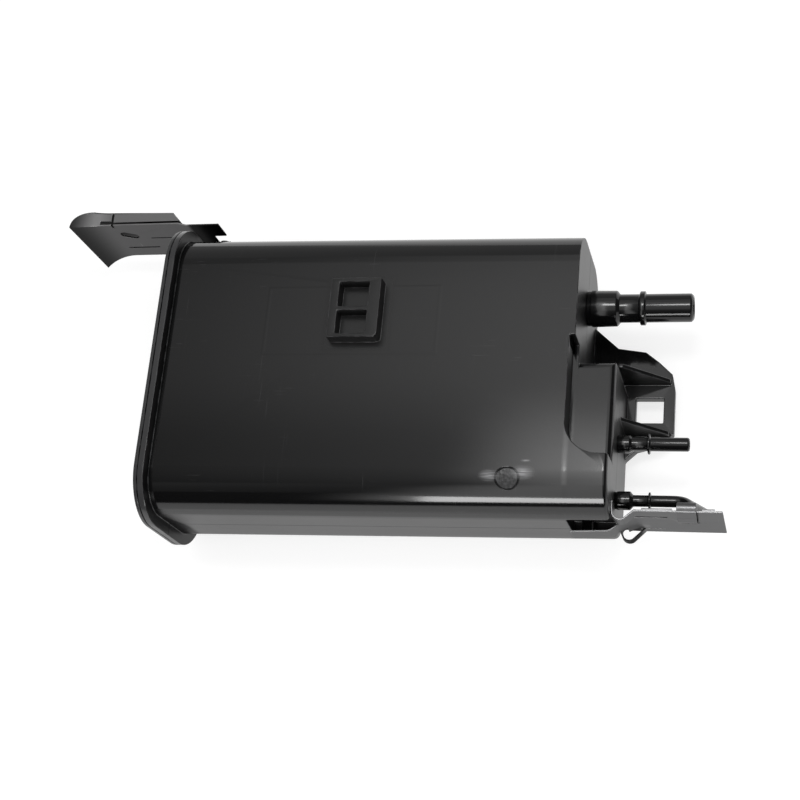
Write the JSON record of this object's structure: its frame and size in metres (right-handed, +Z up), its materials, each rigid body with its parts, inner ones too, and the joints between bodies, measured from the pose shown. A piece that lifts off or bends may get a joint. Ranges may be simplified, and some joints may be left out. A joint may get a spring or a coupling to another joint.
{
  "type": "charcoal canister",
  "caption": "Charcoal canister for fuel vapour: a welded plastic case with carbon beds inside, hose spigots at one end, a mounting tab and sheet steel clips.",
  "frame": {"origin": "middle of the whole part's box, on its lowest plane, with the large face of the case up", "axes": "+X along the case towards the hose spigots, +Z up through the large face, +Y to the side of the guide clip"},
  "size_m": [0.4912, 0.2452, 0.1186],
  "materials": {
    "case_plastic": "satin black moulding",
    "spigot_plastic": "glossy black moulding",
    "clip_steel": "dark grey coated sheet steel",
    "carbon": "dull black granules",
    "fleece": "needled fleece",
    "grid_plastic": "plain black moulding",
    "spring_steel": "bright wire"
  },
  "bodies": {
    "root": {"canister_body": "case_plastic", "end_cover": "case_plastic", "vent_spigot": "spigot_plastic", "tank_spigot": "spigot_plastic", "purge_spigot": "spigot_plastic", "guide_clip": "clip_steel", "spring_clip": "clip_steel", "main_carbon_bed": "carbon", "vent_carbon_bed": "carbon", "main_cover_pad": "fleece", "main_port_pad": "fleece", "vent_cover_pad": "fleece", "vent_port_pad": "fleece", "main_retainer": "grid_plastic", "vent_retainer": "grid_plastic", "main_grid": "grid_plastic", "vent_grid": "grid_plastic", "main_spring_near": "spring_steel", "main_spring_far": "spring_steel", "vent_spring": "spring_steel"}
  },
  "joints": []
}
